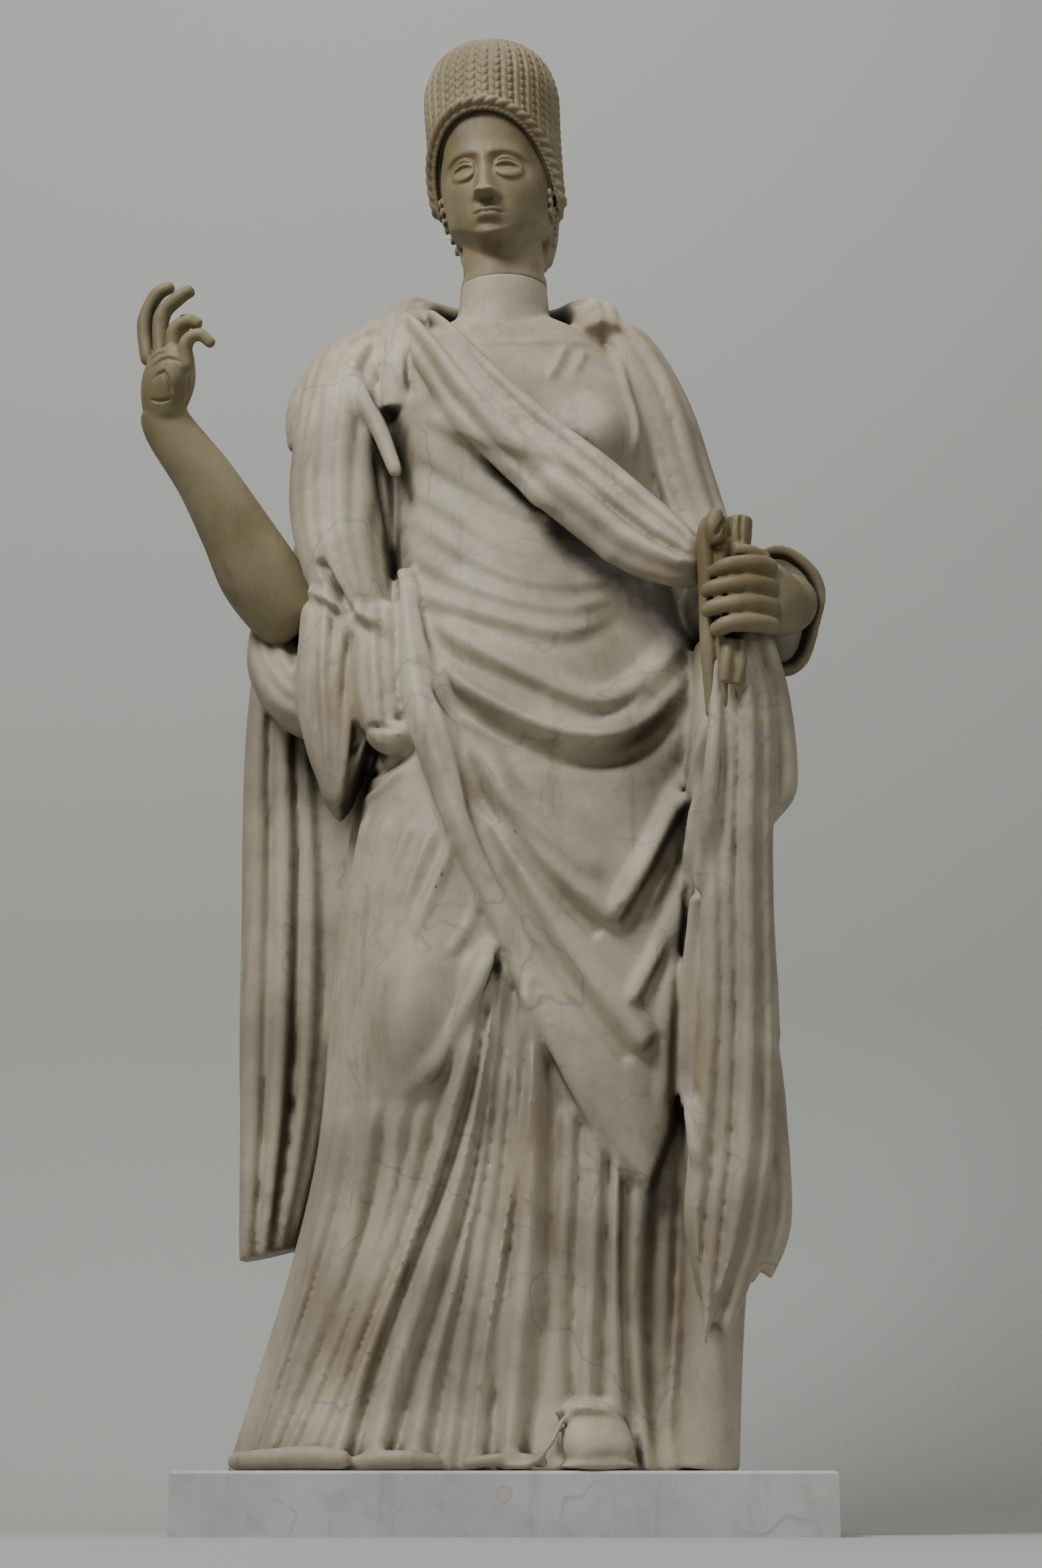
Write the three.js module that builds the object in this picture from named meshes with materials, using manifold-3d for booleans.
// A draped Roman portrait statue of a woman in marble, a little over life size, on its low plinth.
// Millimetres, +Z up, the figure faces -Y, and the origin is the centre of the plinth's underside.
// The figure is one carved block. Its head, set on above a joint across the neck, and its bare
// forearm, of another marble, are pieces of their own, and so are the plinth and the plug in it.

import * as THREE from 'three';
import { mergeVertices } from 'three/addons/utils/BufferGeometryUtils.js';
import Module from 'manifold-3d';

const wasm = await Module();
wasm.setup();

// ---------------------------------------------------------------------------------------------
// Driving dimensions
// ---------------------------------------------------------------------------------------------

const JOINT_GAP = 0.3;            // between pieces that stand on or in each other
const PLINTH = { halfWidth: 466, halfDepth: 350, height: 90, arris: 4 };
const PLUG = { radius: 11, length: 30, z: 58, sides: 16 };
const FIGURE_HEIGHT = 2362;       // top of the hair above the plinth
const FLOOR = PLINTH.height + JOINT_GAP;
const NECK_JOINT = 2005;
const HEAD_TOP = PLINTH.height + FIGURE_HEIGHT;
const FRONT = new THREE.Vector3(0, -1, 0);

const WAIST = 860;                // the pleated skirt is below it, the plain torso above
const TORSO_RINGS = 9;
const TORSO_SIDES = 24;
const SKIRT_RINGS = 6;
const TRUNK_POWER = 2.5;          // squareness of the trunk's level sections

// Level sections of the draped body: height, left side, right side, front and back.
const TRUNK_SECTIONS = [
  [FLOOR, -408, 342, -302, 250],
  [200, -378, 330, -268, 240],
  [400, -322, 338, -262, 230],
  [600, -282, 352, -256, 222],
  [820, -266, 356, -248, 212],
  [1030, -246, 350, -230, 202],
  [1250, -214, 336, -205, 190],
  [1480, -192, 290, -185, 172],
  [1640, -192, 276, -178, 168],
  [1790, -205, 255, -160, 162],
  [1865, -190, 195, -138, 142],
  [1915, -150, 150, -110, 118],
  [1945, -100, 100, -80, 90],
];

// Crests of the skirt's pleats by height: in each family the first and the last crest's x at the
// plinth and going up, between which the others are spread.
const PLEATS = [
  { count: 4, high: 17, from: 640, first: [-374, -336, -292, -258, -250, -246],
    last: [-292, -238, -180, -132, -104, -96] },
  { count: 6, high: 24, from: 862, first: [-262, -222, -160, -102, -58, -24],
    last: [24, 28, 36, 42, 42, 30] },
  { count: 7, high: 17, from: 640, first: [64, 66, 72, 78, 80, 80],
    last: [312, 302, 296, 306, 318, 326] },
];
const PLEAT_LEVELS = [90, 220, 370, 520, 680, 860];

// Round masses under the cloth: centre x and z, half width, half height, and how far they swell.
const MASSES = [
  { x: -105, z: 1715, rx: 62, rz: 62, swell: 46 },    // breasts
  { x: 158, z: 1700, rx: 62, rz: 60, swell: 44 },
  { x: 80, z: 1340, rx: 150, rz: 150, swell: 42 },    // belly
  { x: 312, z: 1290, rx: 66, rz: 110, swell: 110 },   // cloth drawn out to the hand
  { x: -150, z: 900, rx: 95, rz: 190, swell: 42 },    // thigh of the bent leg
  { x: -180, z: 690, rx: 88, rz: 125, swell: 82 },    // its knee
  { x: -185, z: 470, rx: 110, rz: 120, swell: -12 },
  { x: -330, z: 150, rx: 90, rz: 90, swell: 20 },     // cloth lying on the plinth
];

// The rolled edge of the mantle from the armpit to its lowest point: x, z and half width.
const ROLLED_EDGE = [
  [-158, 1480, 20], [-140, 1355, 28], [-120, 1240, 38], [-95, 1150, 36], [-55, 1025, 30],
  [-15, 920, 24], [25, 820, 19], [75, 710, 16], [135, 580, 14], [205, 490, 12],
];
// The mantle's right edge, from its lowest point back up under the hanging end: z and x.
const APRON_RIGHT = [[490, 205], [580, 240], [675, 258], [800, 280], [1100, 360], [1400, 420]];
const APRON_LOWEST = 490;
const APRON_TOP = 1330;
const APRON_RAISE = 26;
const BACK_HEM = { z: 425, raise: 22 };     // the mantle's level edge behind
const APRON_RINGS = 7;
const APRON_SIDES = 4;
const SKIRT_BACK = 7;
const BACK_FOLDS = 4;
const BAND_BACK = 2;              // faces across the back of a gathered band

// The bare forearm from the elbow up to the wrist, and the end of the upper arm that runs from
// inside the sleeve down into the elbow: x, y, z, radii.
const FOREARM = [
  [-328, -25, 1416, 42, 40], [-352, -36, 1440, 63, 61], [-396, -60, 1494, 66, 64],
  [-438, -87, 1566, 57, 55], [-485, -116, 1642, 48, 46], [-540, -142, 1715, 42, 37],
  [-552, -150, 1750, 38, 32],
];
const UPPER_ARM = [
  [-262, 6, 1540, 54, 52], [-286, -5, 1490, 61, 59], [-318, -20, 1450, 58, 56],
  [-342, -31, 1428, 40, 38],
];
const PALM_WAY = new THREE.Vector3(0.82, 0.57, 0);       // the way the raised palm faces
// Index, middle, ring and little finger from the knuckle to near the tip.
const FINGERS = [
  [[-578, -128, 1835], [-588, -126, 1905], [-570, -136, 1950], [-540, -146, 1964]],
  [[-556, -148, 1838], [-559, -148, 1905], [-532, -160, 1934], [-505, -168, 1948]],
  [[-532, -176, 1822], [-532, -184, 1866], [-508, -194, 1880], [-488, -196, 1870]],
  [[-506, -200, 1796], [-510, -210, 1834], [-488, -220, 1846], [-464, -220, 1826]],
];

// The head above the neck joint: height over the joint, half width, depth in front and behind.
const HEAD_HEIGHT = HEAD_TOP - NECK_JOINT - JOINT_GAP;
const FACE_RINGS = 11;
const HAIR_RINGS = 5;
const HAIR_RAISE = 12;
const HEAD_SIDES = 24;
const HEAD_TURN = 0.21;
const HEAD_SHIFT = { x: -22, neckX: -5, neckY: -36 };
const HEAD_SECTIONS = [
  [0, 72, 67, 76], [16, 71, 67, 80], [30, 66, 86, 84], [42, 70, 104, 87], [66, 77, 110, 94],
  [100, 85, 113, 106], [150, 94, 112, 120], [200, 98, 111, 128], [255, 99, 111, 132],
  [299, 100, 110, 130], [349, 101, 106, 128], [389, 92, 94, 114], [421, 72, 70, 84],
  [437, 50, 48, 56], [HEAD_HEIGHT, 22, 22, 24],
];
// Heights over the joint, by the rule of equal thirds from the chin to the hairline.
const FACE = {
  chin: 32, mouth: 88, noseTip: 112, eyes: 174, ears: 168, hairTop: 277, hairSide: 140,
};

// ---------------------------------------------------------------------------------------------
// Small mathematics
// ---------------------------------------------------------------------------------------------

const smooth = (t) => {
  const c = Math.min(1, Math.max(0, t));
  return c * c * (3 - 2 * c);
};

/** Value of column `col` of rising `rows` at `at`, eased between neighbours (monotone cubic). */
function along(rows, at, col, key = 0) {
  if (at <= rows[0][key]) return rows[0][col];
  const last = rows.length - 1;
  if (at >= rows[last][key]) return rows[last][col];
  let i = 0;
  while (at > rows[i + 1][key]) i += 1;
  const slope = (k) => (rows[k + 1][col] - rows[k][col]) / (rows[k + 1][key] - rows[k][key]);
  const tangent = (k) => {
    if (k === 0) return slope(0);
    if (k === last) return slope(last - 1);
    const [a, b] = [slope(k - 1), slope(k)];
    return a * b <= 0 ? 0 : (2 * a * b) / (a + b);
  };
  const h = rows[i + 1][key] - rows[i][key];
  const t = (at - rows[i][key]) / h;
  const [t2, t3] = [t * t, t * t * t];
  return (2 * t3 - 3 * t2 + 1) * rows[i][col] + (t3 - 2 * t2 + t) * h * tangent(i)
    + (3 * t2 - 2 * t3) * rows[i + 1][col] + (t3 - t2) * h * tangent(i + 1);
}

const signedPower = (value, power) => Math.sign(value) * Math.abs(value) ** power;

// ---------------------------------------------------------------------------------------------
// Solids: closed lofts, joined and cut
// ---------------------------------------------------------------------------------------------

/** A closed solid through rings that all have the same number of points. */
function loft(rings) {
  const n = rings[0].length;
  const points = rings.flat();
  const triangles = [];
  for (let r = 0; r + 1 < rings.length; r += 1) {
    for (let k = 0; k < n; k += 1) {
      const [a, b] = [r * n + k, r * n + ((k + 1) % n)];
      triangles.push([a, b, b + n], [a, b + n, a + n]);
    }
  }
  const capAt = (ring, start, turn) => {
    const centre = ring.reduce((sum, p) => sum.add(p), new THREE.Vector3()).divideScalar(n);
    points.push(centre);
    for (let k = 0; k < n; k += 1) {
      const pair = [start + k, start + ((k + 1) % n)];
      triangles.push([points.length - 1, pair[turn ? 1 : 0], pair[turn ? 0 : 1]]);
    }
  };
  capAt(rings[0], 0, true);
  capAt(rings[rings.length - 1], (rings.length - 1) * n, false);
  return solidFrom(points, triangles);
}

/** A manifold from points and triangles, turned inside out where its volume is negative. */
function solidFrom(points, triangles) {
  let volume = 0;
  for (const [a, b, c] of triangles) {
    volume += points[a].dot(new THREE.Vector3().crossVectors(points[b], points[c]));
  }
  const order = volume < 0 ? [0, 2, 1] : [0, 1, 2];
  return new wasm.Manifold(new wasm.Mesh({
    numProp: 3,
    vertProperties: new Float32Array(points.flatMap((p) => [p.x, p.y, p.z])),
    triVerts: new Uint32Array(triangles.flatMap((t) => order.map((i) => t[i]))),
  }));
}

/** A manifold from a closed three.js geometry. */
function solidOf(geometry) {
  const bare = geometry.clone();
  bare.deleteAttribute('normal');
  bare.deleteAttribute('uv');
  const merged = mergeVertices(bare);
  const place = merged.getAttribute('position');
  const points = [];
  for (let i = 0; i < place.count; i += 1) {
    points.push(new THREE.Vector3().fromBufferAttribute(place, i));
  }
  const index = merged.getIndex();
  const triangles = [];
  for (let i = 0; i < index.count; i += 3) {
    triangles.push([index.getX(i), index.getX(i + 1), index.getX(i + 2)]);
  }
  return solidFrom(points, triangles);
}

const joined = (solids) => solids.reduce((sum, solid) => sum.add(solid));

/** The solid without its sealed hollows: only the outer skin of the joined forms is kept. */
function filled(solid) {
  const mesh = solid.getMesh();
  const count = mesh.vertProperties.length / 3;
  const points = [];
  for (let i = 0; i < count; i += 1) {
    points.push(new THREE.Vector3().fromArray(mesh.vertProperties, 3 * i));
  }
  const parent = points.map((_, i) => i);
  const rootOf = (i) => {
    let at = i;
    while (parent[at] !== at) at = parent[at];
    return at;
  };
  const triangles = [];
  for (let i = 0; i < mesh.triVerts.length; i += 3) {
    const triangle = [...mesh.triVerts.subarray(i, i + 3)];
    triangles.push(triangle);
    const root = rootOf(triangle[0]);
    parent[rootOf(triangle[1])] = root;
    parent[rootOf(triangle[2])] = root;
  }
  const skins = new Map();
  for (const triangle of triangles) {
    const root = rootOf(triangle[0]);
    if (!skins.has(root)) skins.set(root, []);
    skins.get(root).push(triangle);
  }
  const volume = (skin) => skin.reduce((sum, [a, b, c]) => (
    sum + points[a].dot(new THREE.Vector3().crossVectors(points[b], points[c]))
  ), 0);
  const outer = [...skins.values()].sort((one, two) => volume(two) - volume(one))[0];
  return solidFrom(points, outer);
}

/** The mesh of a solid, with its name and finish. */
function piece(name, solid, finish) {
  const mesh = solid.getMesh();
  const geometry = new THREE.BufferGeometry();
  const place = new Float32Array(mesh.numProp === 3 ? mesh.vertProperties : 0);
  geometry.setAttribute('position', new THREE.BufferAttribute(place, 3));
  geometry.setIndex(new THREE.BufferAttribute(new Uint32Array(mesh.triVerts), 1));
  geometry.computeVertexNormals();
  const result = new THREE.Mesh(geometry, new THREE.MeshStandardMaterial(finish));
  result.name = name;
  return result;
}

/** Stations along a smooth path of [x, y, z, ...sizes]: the place, direction and eased sizes. */
function stations(path, count) {
  const curve = new THREE.CatmullRomCurve3(path.map((p) => new THREE.Vector3(p[0], p[1], p[2])));
  const rows = path.map((p, i) => [i, ...p.slice(3)]);
  const result = [];
  for (let s = 0; s <= count; s += 1) {
    const t = s / count;
    result.push({
      t,
      at: curve.getPoint(t),
      way: curve.getTangent(t),
      size: (col) => along(rows, t * (path.length - 1), col + 1),
    });
  }
  return result;
}

/** A round or flattened limb: path rows are [x, y, z, half width, half depth]. */
function limb(path, { steps = 8, sides = 10, out = FRONT, power = 1 } = {}) {
  return loft(stations(path, steps).map(({ at, way, size }) => {
    const across = new THREE.Vector3().crossVectors(way, out).normalize();
    const outward = new THREE.Vector3().crossVectors(across, way).normalize();
    const [wide, deep] = [size(0), path[0].length > 4 ? size(1) : size(0)];
    const ring = [];
    for (let k = 0; k < sides; k += 1) {
      const angle = (2 * Math.PI * (k + 0.5)) / sides;
      ring.push(at.clone()
        .addScaledVector(across, wide * signedPower(Math.cos(angle), power))
        .addScaledVector(outward, deep * signedPower(Math.sin(angle), power)));
    }
    return ring;
  }));
}

/** A gathered band of cloth: rows are [x, y, z, half width, thickness], with round ridges in front. */
function gathered(path, { folds, depth, steps = 9, out = FRONT, fineness = 3 }) {
  return loft(stations(path, steps).map(({ at, way, size }) => {
    const across = new THREE.Vector3().crossVectors(way, out).normalize();
    const outward = new THREE.Vector3().crossVectors(across, way).normalize();
    const [half, thick] = [size(0), size(1)];
    const ring = [];
    const count = folds * fineness;
    for (let k = 0; k <= count; k += 1) {
      const even = (2 * k) / count - 1;
      const u = even + 0.13 * (1 - even * even) * Math.sin(4 * even + folds);   // of uneven widths
      const ridge = Math.abs(Math.sin((Math.PI * k) / fineness)) ** 0.7;
      const crown = Math.sqrt(1 - 0.8 * u * u);
      ring.push(at.clone().addScaledVector(across, half * u)
        .addScaledVector(outward, 0.5 * thick * crown + depth * (ridge - 0.5)));
    }
    for (let k = BAND_BACK; k >= 0; k -= 1) {
      const u = (2 * k) / BAND_BACK - 1;
      ring.push(at.clone().addScaledVector(across, 0.9 * half * u)
        .addScaledVector(outward, -0.5 * thick * Math.sqrt(1 - 0.7 * u * u)));
    }
    return ring;
  }));
}

// ---------------------------------------------------------------------------------------------
// The draped body
// ---------------------------------------------------------------------------------------------

/** Left, right, front and back of the trunk's level section at height z. */
function section(z) {
  const [left, right, front, back] = [1, 2, 3, 4].map((col) => along(TRUNK_SECTIONS, z, col));
  return { left, right, front, back, middle: (left + right) / 2, half: (right - left) / 2 };
}

/** How far cloth and body stand out of the plain section, at a place seen from the front. */
function frontSwell(x, z) {
  let swell = 0;
  for (const mass of MASSES) {
    const [dx, dz] = [(x - mass.x) / mass.rx, (z - mass.z) / mass.rz];
    swell += mass.swell * Math.exp(-0.9 * (dx * dx + dz * dz));
  }
  return swell;
}

/** Left and right edges of the mantle in front, over the tunic, at height z. */
function apronEdges(z) {
  const rising = ROLLED_EDGE.map(([x, at]) => [at, x]).reverse();
  return [along(rising, z, 1), along(APRON_RIGHT, z, 1)];
}

/** How far the mantle stands over the tunic at x and z. */
function apronHeight(x, z) {
  const [left, right] = apronEdges(z);
  if (z < APRON_LOWEST || x < left || x > right) return 0;
  return APRON_RAISE * (1 - smooth((z - APRON_TOP + 260) / 260));
}

/** How far round to its side a section has turned at x: 1 in the middle, 0 at its edge. */
function levelAt(x, { middle, half }) {
  const u = Math.min(0.98, Math.abs(x - middle) / half);
  return (1 - u ** TRUNK_POWER) ** (1 / TRUNK_POWER);
}

/** Front surface of the draped body at x and z. */
function frontY(x, z) {
  const at = section(z);
  const centre = (at.front + at.back) / 2;
  return centre + (at.front - centre - frontSwell(x, z)) * levelAt(x, at);
}

/** Back surface of the draped body at x and z. */
function backY(x, z) {
  const at = section(z);
  const centre = (at.front + at.back) / 2;
  const hem = BACK_HEM.raise * smooth((z - BACK_HEM.z + 40) / 40);
  return centre + (at.back - centre + hem) * levelAt(x, at);
}

/** A level ring point at an angle round the section, with its swell in front. */
function around(z, angle, inset = 0) {
  const { front, back, middle, half } = section(z);
  const centre = (front + back) / 2;
  const [c, s] = [Math.cos(angle), Math.sin(angle)];
  const x = middle + (half - inset) * signedPower(c, 2 / TRUNK_POWER);
  const level = signedPower(s, 2 / TRUNK_POWER);
  const y = centre + (s < 0 ? centre - front : back - centre) * level - inset * level;
  const hem = BACK_HEM.raise * smooth((z - BACK_HEM.z + 40) / 40) * Math.max(0, level);
  return new THREE.Vector3(x, y - frontSwell(x, z) * Math.max(0, -level) + hem, z);
}

/** The body above the waist, whose folds are joined to it. */
function torso() {
  const rings = [];
  const top = TRUNK_SECTIONS[TRUNK_SECTIONS.length - 1][0];
  for (let r = -1; r <= TORSO_RINGS; r += 1) {
    const z = r < 0 ? WAIST - 25 : WAIST + (top - WAIST) * (r / TORSO_RINGS);
    const ring = [];
    for (let k = 0; k < TORSO_SIDES; k += 1) {
      const even = (2 * Math.PI * k) / TORSO_SIDES;
      const angle = even + 0.25 * Math.cos(even);       // closer together in front
      ring.push(around(z, angle, r < 0 ? 12 : 0));
    }
    rings.push(ring);
  }
  return loft(rings);
}

/** Crests across the front at height z: x, and how far each stands out. */
function pleatCrests(z) {
  const rows = PLEAT_LEVELS.map((level, i) => [level, i]);
  const step = along(rows, z, 1);
  const crests = [];
  for (const { count, high, from, first, last } of PLEATS) {
    const at = (list) => along(list.map((x, i) => [i, x]), step, 1);
    for (let i = 0; i < count; i += 1) {
      const spread = i / (count - 1) + 0.05 * Math.sin(7 * i);
      crests.push([
        at(first) + (at(last) - at(first)) * Math.min(1, Math.max(0, spread)),
        high * smooth((from - z) / 70) * (0.85 + 0.15 * Math.cos(5 * i)),
      ]);
    }
  }
  return crests;
}

/** The skirt from the plinth to the waist: each pleat has a valley and two edges to its crest. */
function skirt() {
  const rings = [];
  for (let r = 0; r <= SKIRT_RINGS; r += 1) {
    const z = FLOOR + (WAIST - FLOOR) * (r / SKIRT_RINGS);
    const { left, right } = section(z);
    const crests = pleatCrests(z);
    const ring = [];
    const add = (x, out) => ring.push(new THREE.Vector3(x, frontY(x, z) - out, z));
    crests.forEach(([x, out], i) => {
      const before = i === 0 ? left + 8 : (crests[i - 1][0] + x) / 2;
      const after = i === crests.length - 1 ? right - 10 : (x + crests[i + 1][0]) / 2;
      add(before, 0);
      add(x + (before - x) * 0.5, out);
      add(x + (after - x) * 0.5, out);
    });
    add(right - 10, 0);
    for (let k = 0; k <= SKIRT_BACK; k += 1) {
      const angle = (Math.PI * k) / SKIRT_BACK;
      ring.push(around(z, angle));
    }
    rings.push(ring);
  }
  return loft(rings);
}

/** The front of the mantle, a sheet over the trunk from the waist to its lowest point. */
function apron() {
  const rings = [];
  for (let r = 0; r <= APRON_RINGS; r += 1) {
    const z = APRON_LOWEST + (APRON_TOP - APRON_LOWEST) * (r / APRON_RINGS);
    const [left, right] = apronEdges(z);
    const place = (k, depth) => {
      const x = left + 4 + (right - left - 2) * (k / APRON_SIDES);
      return new THREE.Vector3(x, frontY(x, z) - depth, z);
    };
    const raise = APRON_RAISE * (1 - smooth((z - APRON_TOP + 260) / 260));
    const ring = [];
    for (let k = 0; k <= APRON_SIDES; k += 1) ring.push(place(k, raise));
    for (let k = APRON_SIDES; k >= 0; k -= 2) ring.push(place(k, -40));
    rings.push(ring);
  }
  return loft(rings);
}

/** A raised fold lying on the front: rows are [x, z], with its half width and how high it stands. */
function fold(course, { half = 16, high = 15, steps = 6, sides = 4, taper = 0.35 }) {
  const last = course.length - 1;
  const path = course.map(([x, z], i) => {
    const end = i === 0 || i === last ? taper : 1;
    const y = frontY(x, z) - apronHeight(x, z) + high * (1 - end) * 0.8;
    return [x, y, z, half * end, high * end];
  });
  return limb(path, { steps, sides });
}

/** Folds between a first and a last course of equally many [x, z] rows. */
function foldsBetween(first, last, count, look) {
  const folds = [];
  for (let i = 0; i < count; i += 1) {
    const t = count === 1 ? 0 : i / (count - 1);
    folds.push(fold(first.map(([x, z], row) => [
      x + (last[row][0] - x) * t,
      z + (last[row][1] - z) * t,
    ]), look));
  }
  return folds;
}

/** Folds hanging across the belly, drawn up to the hand, and the deep V folds under them. */
function slungFolds() {
  return [
    ...foldsBetween(
      [[-155, 1640], [-65, 1550], [50, 1475], [190, 1450]],
      [[-160, 1470], [-80, 1400], [60, 1360], [215, 1430]],
      3, { half: 16, high: 14, steps: 5 },
    ),
    fold([[-118, 1412], [-65, 1340], [40, 1270], [140, 1235], [215, 1275], [290, 1370]],
      { half: 19, high: 18, steps: 6 }),
    fold([[-112, 1350], [-60, 1265], [30, 1200], [130, 1176], [210, 1215], [295, 1325]],
      { half: 28, high: 27, steps: 7 }),
    fold([[-60, 1175], [20, 1050], [90, 955], [158, 885], [205, 965], [250, 1065], [292, 1170]],
      { half: 20, high: 20, steps: 8 }),
    fold([[-40, 1130], [0, 1010], [70, 875], [140, 770], [205, 690]], { half: 18, high: 18, steps: 5 }),
    fold([[195, 780], [240, 875], [285, 1030], [300, 1150]], { half: 15, high: 15, steps: 4 }),
    fold([[235, 800], [268, 940], [288, 1080], [300, 1240]], { half: 14, high: 15, steps: 4 }),
    fold([[262, 520], [262, 680], [272, 830], [296, 1030], [312, 1200]], { half: 14, high: 16, steps: 5 }),
  ];
}

/** Folds on the bent leg. */
function legFolds() {
  const thigh = foldsBetween(
    [[-212, 1085], [-232, 975], [-245, 840]],
    [[-85, 1020], [-118, 925], [-140, 850]],
    3, { half: 10, high: 8, steps: 3 },
  );
  const knee = fold([[-150, 612], [-92, 680], [-48, 770], [-12, 865]], { half: 14, high: 14 });
  return [...thigh, knee];
}

/** The rolled edge of the mantle, from the armpit to its lowest point. */
function rolledEdge() {
  const path = ROLLED_EDGE.map(([x, z, half]) => [x, frontY(x, z) + 4, z, half, half * 0.9 + 8]);
  return limb(path, { steps: 9, sides: 5 });
}

/** Plainer folds of the mantle behind, fanning down from the left shoulder to its level edge. */
function backFolds() {
  const [first, last] = [
    [[190, 1840], [120, 1500], [0, 1100], [-60, 760], [-70, 430]],
    [[215, 1820], [268, 1500], [312, 1100], [320, 760], [300, 430]],
  ];
  const folds = [];
  for (let i = 0; i < BACK_FOLDS; i += 1) {
    const t = i / (BACK_FOLDS - 1);
    const path = first.map(([x, z], row) => {
      const at = x + (last[row][0] - x) * t;
      const half = row === 0 ? 12 : 24;
      return [at, backY(at, z) - 4, z, half, half];
    });
    folds.push(limb(path, { steps: 4, sides: 4 }));
  }
  return folds;
}

/** The thick diagonal bundle from the right shoulder to the left hand. */
function bundle() {
  return gathered([
    [-148, -30, 1935, 34, 60], [-105, -125, 1850, 46, 64], [-45, -185, 1750, 56, 62],
    [40, -222, 1650, 60, 62], [120, -252, 1570, 64, 62], [200, -288, 1488, 62, 60],
    [265, -330, 1432, 46, 56], [300, -352, 1415, 28, 46],
  ], { folds: 4, depth: 24, steps: 7 });
}

/** The mantle's roll round the back of the neck, and the neck itself below the joint. */
function collar() {
  return [
    limb([[-165, -70, 1915, 38], [-155, -5, 1960, 42], [-108, 66, 1982, 42], [0, 102, 1988, 40],
      [100, 72, 1982, 42], [140, 5, 1962, 44], [152, -70, 1915, 40]], { steps: 10, sides: 7 }),
    limb([[-5, -5, 1810, 108, 98], [-5, -18, 1880, 100, 94], [-5, -31, 1930, 85, 80],
      [-5, -36, 1968, 75, 69], [-5, -36, NECK_JOINT + 4, 72, 67]], { steps: 5, sides: 14 }),
  ];
}

/** The left arm under the mantle, to the turned-back cuff. */
function leftArm() {
  const cloth = gathered([
    [122, 10, 1945, 42, 70], [184, -10, 1880, 66, 120], [234, -35, 1765, 70, 150],
    [264, -52, 1650, 72, 150], [296, -70, 1540, 70, 150], [330, -95, 1440, 60, 130],
  ], { folds: 4, depth: 16, steps: 6 });
  const sleeve = limb([[324, -40, 1438, 72, 72], [358, -130, 1412, 78, 78],
    [398, -235, 1380, 78, 86], [404, -300, 1364, 76, 92]], { steps: 6, sides: 11 });
  const mouth = limb([[394, -262, 1378, 56, 62], [402, -302, 1364, 63, 80],
    [406, -330, 1358, 68, 84]], { steps: 2, sides: 11 });
  return [cloth, sleeve.subtract(mouth)];
}

/** The closed left hand, the cloth it grips and the knot of cloth standing above it. */
function leftHand() {
  const solids = [
    limb([[408, -240, 1385, 46, 40], [414, -300, 1372, 44, 40], [408, -352, 1362, 48, 34],
      [384, -385, 1356, 46, 20]], { steps: 5, sides: 9 }),
    limb([[326, -350, 1180, 26, 24], [326, -362, 1290, 34, 32], [326, -366, 1390, 36, 32],
      [320, -372, 1450, 33, 30], [322, -372, 1476, 22, 20]], { steps: 6, sides: 8 }),
    limb([[344, -368, 1396, 14], [350, -374, 1436, 18], [354, -376, 1482, 16]],
      { steps: 3, sides: 6 }),
  ];
  const [knuckle, tip] = [396, 299];
  for (let finger = 0; finger < 4; finger += 1) {
    const z = 1396 - 30 * finger;
    const reach = [12, 0, 0, 12][finger];
    solids.push(limb([[knuckle, -388, z + 1, 13], [370, -406, z, 12.5], [334, -412, z - 3, 12],
      [tip + reach + 8, -402, z - 6, 11], [tip + reach, -392, z - 7, 6]], { steps: 4, sides: 5 }));
  }
  return solids;
}

/** The mantle's end hanging from the left hand, in tiers with turned hems. */
function hangingEnd() {
  return [
    limb([[330, -200, 1330, 40, 90], [320, -195, 1000, 48, 95], [318, -200, 600, 55, 90],
      [300, -200, 300, 50, 80], [280, -190, 60, 60, 90]], { steps: 5, sides: 7 }),
    gathered([[334, -345, 1290, 34, 60], [350, -335, 1180, 50, 60], [343, -312, 965, 54, 62],
      [340, -300, 765, 56, 62], [330, -295, 570, 62, 62], [312, -290, 430, 56, 60],
      [296, -290, 290, 22, 50]], { folds: 3, depth: 22, steps: 6 }),
    gathered([[372, -325, 1320, 30, 44], [388, -315, 1210, 42, 46], [392, -305, 1090, 46, 46],
      [380, -300, 1020, 22, 40]], { folds: 2, depth: 14, steps: 4 }),
    gathered([[372, -285, 1010, 18, 50], [378, -275, 860, 24, 50], [385, -272, 705, 22, 46]],
      { folds: 1, depth: 14, steps: 3 }),
    gathered([[375, -265, 760, 22, 60], [384, -262, 600, 30, 60], [388, -262, 450, 28, 56],
      [362, -265, 365, 24, 50]], { folds: 2, depth: 12, steps: 4 }),
  ];
}

/** The sleeve over the right arm and the loops of cloth that hang from its elbow. */
function rightSleeve() {
  const sleeve = gathered([
    [-212, 25, 1925, 34, 90], [-252, 5, 1850, 72, 190], [-262, -8, 1740, 84, 226],
    [-266, -22, 1620, 86, 240], [-256, -44, 1510, 74, 236], [-215, -90, 1390, 52, 160],
    [-165, -145, 1330, 26, 60],
  ], { folds: 4, depth: 18, steps: 7 });
  const edge = limb([[-200, 30, 1930, 22], [-290, 20, 1892, 28], [-338, 20, 1815, 28],
    [-348, 15, 1735, 16]], { steps: 4, sides: 6 });
  const cord = limb([[-262, -112, 1840, 10], [-228, -150, 1770, 13], [-198, -170, 1715, 12],
    [-165, -182, 1630, 10]], { steps: 4, sides: 5 });
  return [sleeve, edge, cord, ...pouches()];
}

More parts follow.
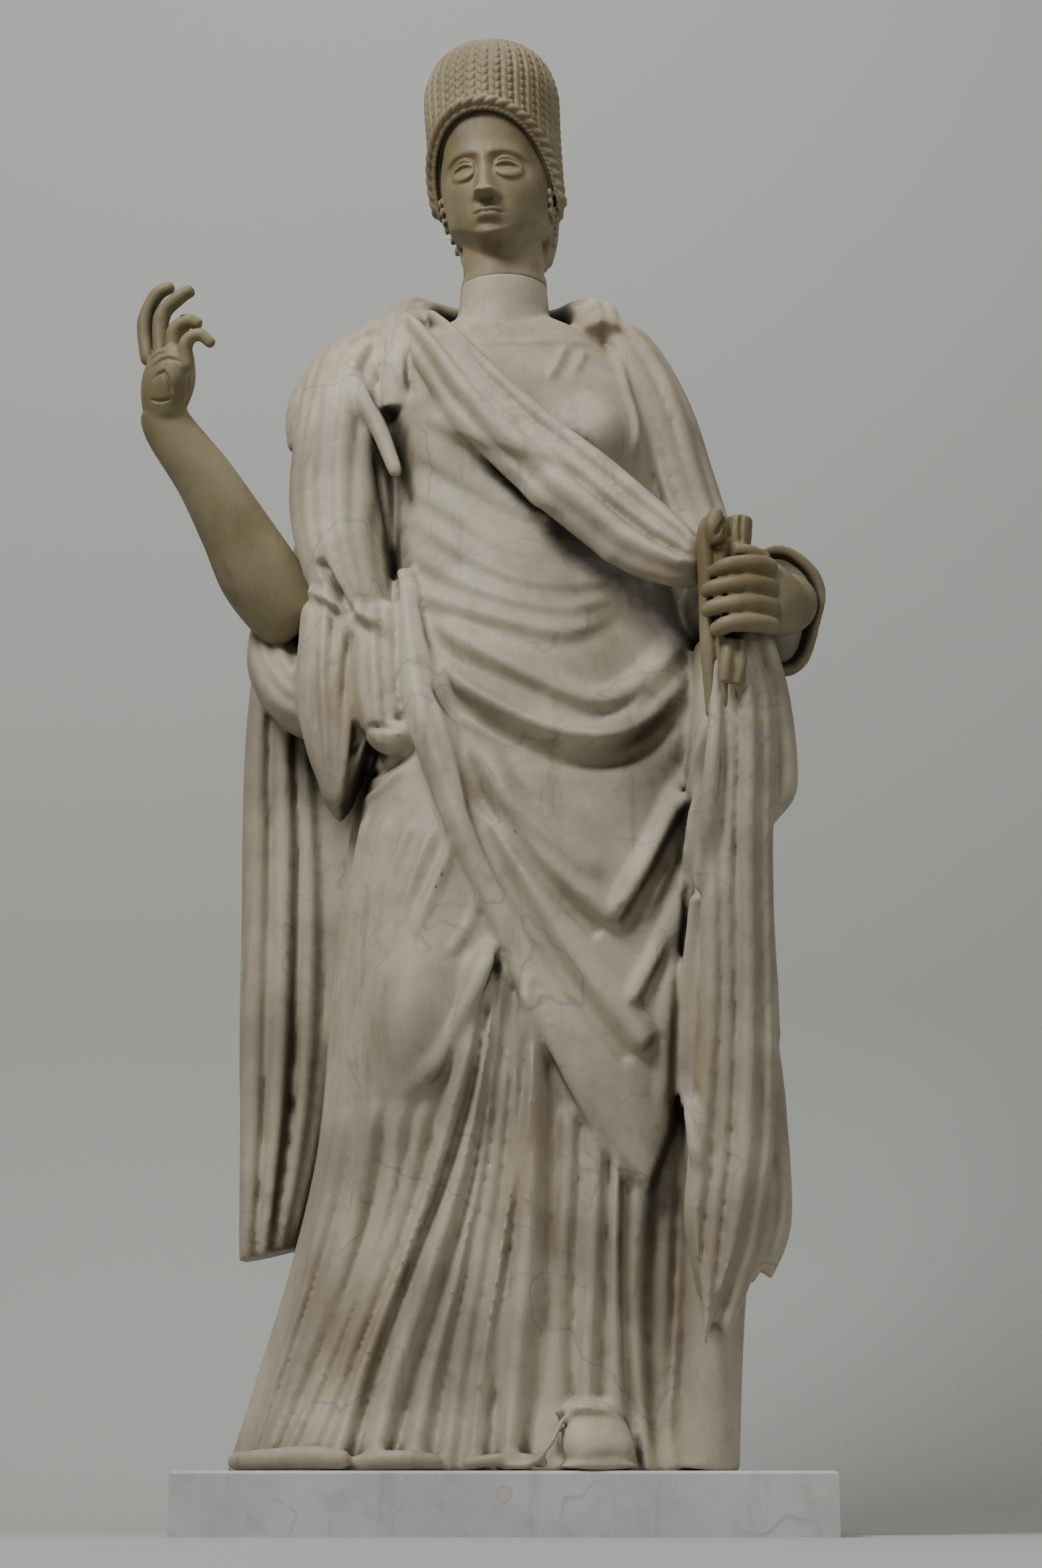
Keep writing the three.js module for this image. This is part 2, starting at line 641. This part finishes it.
function pouches() {
  return [
    gathered([[-380, 60, 1450, 34, 110], [-372, 30, 1366, 48, 130], [-325, -15, 1298, 54, 140],
      [-250, -60, 1265, 50, 130]], { folds: 3, depth: 16, steps: 5 }),
    gathered([[-262, -70, 1440, 66, 120], [-266, -85, 1300, 66, 130], [-262, -95, 1190, 52, 120],
      [-262, -100, 1085, 30, 90]], { folds: 3, depth: 22, steps: 6 }),
    limb([[-205, -130, 1420, 34, 40], [-200, -148, 1290, 36, 40], [-180, -168, 1205, 28, 30],
      [-140, -185, 1200, 18, 20]], { steps: 5, sides: 6 }),
  ];
}

/** The mantle's fall behind the right arm, in upright flutes, and on across the back. */
function backPanel() {
  return [
    gathered([
      [-345, 88, 1500, 62, 90], [-352, 108, 1285, 78, 96], [-345, 118, 1060, 86, 100],
      [-346, 118, 840, 84, 100], [-354, 115, 625, 70, 96], [-372, 112, 425, 46, 90],
    ], { folds: 3, depth: 30, steps: 4 }),
    gathered([
      [-150, 70, 1895, 90, 90], [-195, 84, 1740, 130, 110], [-205, 100, 1500, 168, 130],
      [-210, 128, 1060, 196, 130], [-220, 142, 700, 200, 130], [-245, 148, 425, 176, 110],
    ], { folds: 4, depth: 26, steps: 4, out: FRONT.clone().negate() }),
    limb([[-225, 40, 1840, 60, 66], [-120, 66, 1888, 66, 66], [0, 78, 1905, 66, 66],
      [120, 66, 1892, 66, 66], [215, 30, 1845, 58, 66]], { steps: 5, sides: 7 }),
  ];
}

/** The toe of the left shoe, with the bow of its lace. */
function shoe() {
  return [
    limb([[110, -200, 150, 45, 60], [122, -270, 138, 55, 50], [134, -322, 118, 50, 34],
      [138, -345, 104, 30, 16]], { steps: 5, sides: 9, out: new THREE.Vector3(0, 0, 1) }),
    limb([[84, -310, 166, 7], [112, -322, 176, 9], [140, -320, 170, 7]], { steps: 4, sides: 5 }),
  ];
}

function drapedFigure() {
  const body = joined([
    torso(), skirt(), apron(), ...slungFolds(), ...legFolds(), rolledEdge(), ...backFolds(),
    bundle(), ...collar(), ...leftArm(), ...leftHand(), ...hangingEnd(), ...rightSleeve(),
    ...backPanel(), ...shoe(),
  ]);
  const above = new THREE.BoxGeometry(2000, 2000, NECK_JOINT - FLOOR);
  above.translate(0, 0, (NECK_JOINT + FLOOR) / 2);
  return filled(body.intersect(solidOf(above)).subtract(forearm(JOINT_GAP + 0.2)));
}

// ---------------------------------------------------------------------------------------------
// The bare right forearm and its raised hand
// ---------------------------------------------------------------------------------------------

/** The forearm alone, `more` thicker all over, from inside the sleeve to the wrist. */
function forearm(more) {
  const grown = (rows) => rows.map(([x, y, z, wide, deep], i) => {
    const at = new THREE.Vector3(x, y, z);
    const beside = new THREE.Vector3().fromArray(rows[i === 0 ? 1 : i - 1]);
    const isEnd = i === 0 || i === rows.length - 1;
    if (isEnd) at.add(at.clone().sub(beside).setLength(more));
    return [at.x, at.y, at.z, wide + more, deep + more];
  });
  return joined([
    limb(grown(FOREARM), { steps: 6, sides: 9 }),
    limb(grown(UPPER_ARM), { steps: 3, sides: 9 }),
  ]);
}

function raisedHand() {
  const solids = [
    limb([[-548, -147, 1728, 33, 28], [-548, -160, 1775, 50, 34], [-546, -165, 1810, 56, 30],
      [-542, -162, 1842, 50, 21]], { steps: 4, sides: 10, out: PALM_WAY }),
    limb([[-532, -116, 1772, 19], [-518, -112, 1830, 15], [-528, -128, 1885, 12],
      [-520, -140, 1916, 9]], { steps: 4, sides: 6 }),
  ];
  for (const course of FINGERS) {
    const last = course.length - 1;
    const path = course.map(([x, y, z], i) => [x, y, z, 15 - (4 * i) / last]);
    const [end, before] = [course[last], course[last - 1]];
    const tip = end.map((value, i) => value + (value - before[i]) * 0.2);
    solids.push(limb([...path, [...tip, 6]], { steps: 5, sides: 6 }));
  }
  return solids;
}

function rightForearm() {
  return filled(joined([forearm(0), ...raisedHand()]));
}

// ---------------------------------------------------------------------------------------------
// The head
// ---------------------------------------------------------------------------------------------

/** Height of the hair's rim over the neck joint, arching from the brow down to the ears. */
function hairRim(angle) {
  const away = Math.min(1, Math.abs(angle) / 1.5);
  return FACE.hairTop - (FACE.hairTop - FACE.hairSide) * away ** 2.2;
}

/** How far the features of the face stand out of the plain head, at an angle off the front. */
function faceRelief(angle, z) {
  const bump = (a, h, wide, tall) => Math.exp(-(((angle - a) / wide) ** 2) - ((z - h) / tall) ** 2);
  const pair = (a, h, wide, tall) => bump(a, h, wide, tall) + bump(-a, h, wide, tall);
  const nose = 24 * bump(0, FACE.noseTip + 6, 0.14, 14) + 17 * bump(0, FACE.noseTip + 32, 0.11, 26);
  return nose + 5 * bump(0, FACE.mouth, 0.22, 9) + 7 * bump(0, FACE.chin + 16, 0.28, 14)
    - 11 * pair(0.36, FACE.eyes, 0.2, 15) + 5 * pair(0.36, FACE.eyes, 0.15, 8)
    + 4 * pair(0.4, FACE.eyes + 22, 0.3, 8);
}

/** Level rings under the hair's rim, then rings that stand out over it and close at the top. */
function headRings() {
  const rows = [];
  for (let r = 0; r <= FACE_RINGS; r += 1) rows.push([r / FACE_RINGS, 0, 0]);
  for (let r = 0; r <= HAIR_RINGS; r += 1) {
    rows.push([1, Math.sin((0.5 * Math.PI * r) / HAIR_RINGS), HAIR_RAISE]);
  }
  return rows;
}

function head() {
  const rings = headRings().map(([below, above, raise]) => {
    const ring = [];
    for (let k = 0; k < HEAD_SIDES; k += 1) {
      const even = (2 * Math.PI * k) / HEAD_SIDES - Math.PI;
      const angle = even - 0.45 * Math.sin(even);       // closer together in front
      const rim = hairRim(angle);
      const z = rim * below + (HEAD_HEIGHT - rim) * above;
      const [half, front, back] = [1, 2, 3].map((col) => along(HEAD_SECTIONS, z, col));
      const [c, s] = [Math.cos(angle), Math.sin(angle)];
      const out = raise > 0 ? raise * (1 - above * 0.5) : faceRelief(angle, z);
      const lean = HEAD_SHIFT.x * smooth(z / 380);
      ring.push(new THREE.Vector3(s * (half + out) + lean, -c * ((c > 0 ? front : back) + out), z));
    }
    return ring;
  });
  const up = new THREE.Vector3(0, 0, 1);
  const bun = limb([[-5, 90, 225, 40, 40], [0, 135, 245, 60, 58], [5, 162, 268, 56, 54],
    [8, 180, 280, 26, 24]], { steps: 4, sides: 9, out: up });
  const ear = limb([[84, 8, FACE.ears - 28, 8, 7], [90, 10, FACE.ears, 11, 16],
    [88, 14, FACE.ears + 28, 8, 10]], { steps: 3, sides: 6, out: new THREE.Vector3(1, 0, 0) });
  const turn = new THREE.Matrix4().makeRotationZ(-HEAD_TURN)
    .setPosition(HEAD_SHIFT.neckX, HEAD_SHIFT.neckY, NECK_JOINT + JOINT_GAP);
  return filled(joined([loft(rings), bun, ear]).transform(turn.toArray()));
}

// ---------------------------------------------------------------------------------------------
// The plinth and its plug
// ---------------------------------------------------------------------------------------------

function plinth() {
  const { halfWidth, halfDepth, height, arris } = PLINTH;
  const level = (z, inset) => [[-1, -1], [1, -1], [1, 1], [-1, 1]].map(
    ([sx, sy]) => new THREE.Vector3(sx * (halfWidth - inset), sy * (halfDepth - inset), z),
  );
  return loft([level(0, 0), level(height - arris, 0), level(height, arris)])
    .subtract(plug(JOINT_GAP, 1));
}

/** The round plug, flush with the plinth's face; `more` widens it to make its hole. */
function plug(more, proud) {
  const length = PLUG.length + proud + more;
  const rod = new THREE.CylinderGeometry(PLUG.radius + more, PLUG.radius + more, length, PLUG.sides);
  rod.translate(0, proud - length / 2, 0);
  rod.rotateX(Math.PI);
  rod.translate(0, -PLINTH.halfDepth, PLUG.z);
  return solidOf(rod);
}

// ---------------------------------------------------------------------------------------------
// The statue
// ---------------------------------------------------------------------------------------------

const AGED_MARBLE = { color: 0xb3a999, roughness: 0.6, metalness: 0 };
const WARM_MARBLE = { color: 0x958561, roughness: 0.5, metalness: 0 };
const HEAD_MARBLE = { color: 0xa3947a, roughness: 0.55, metalness: 0 };
const GREY_MARBLE = { color: 0xa9a9a8, roughness: 0.5, metalness: 0 };
const PLUG_MARBLE = { color: 0xb3ada2, roughness: 0.5, metalness: 0 };

const statue = new THREE.Group();
statue.add(
  piece('draped_figure', drapedFigure(), AGED_MARBLE),
  piece('head', head(), HEAD_MARBLE),
  piece('right_forearm', rightForearm(), WARM_MARBLE),
  piece('plinth', plinth(), GREY_MARBLE),
  piece('plinth_plug', plug(0, 0), PLUG_MARBLE),
);

export default statue;
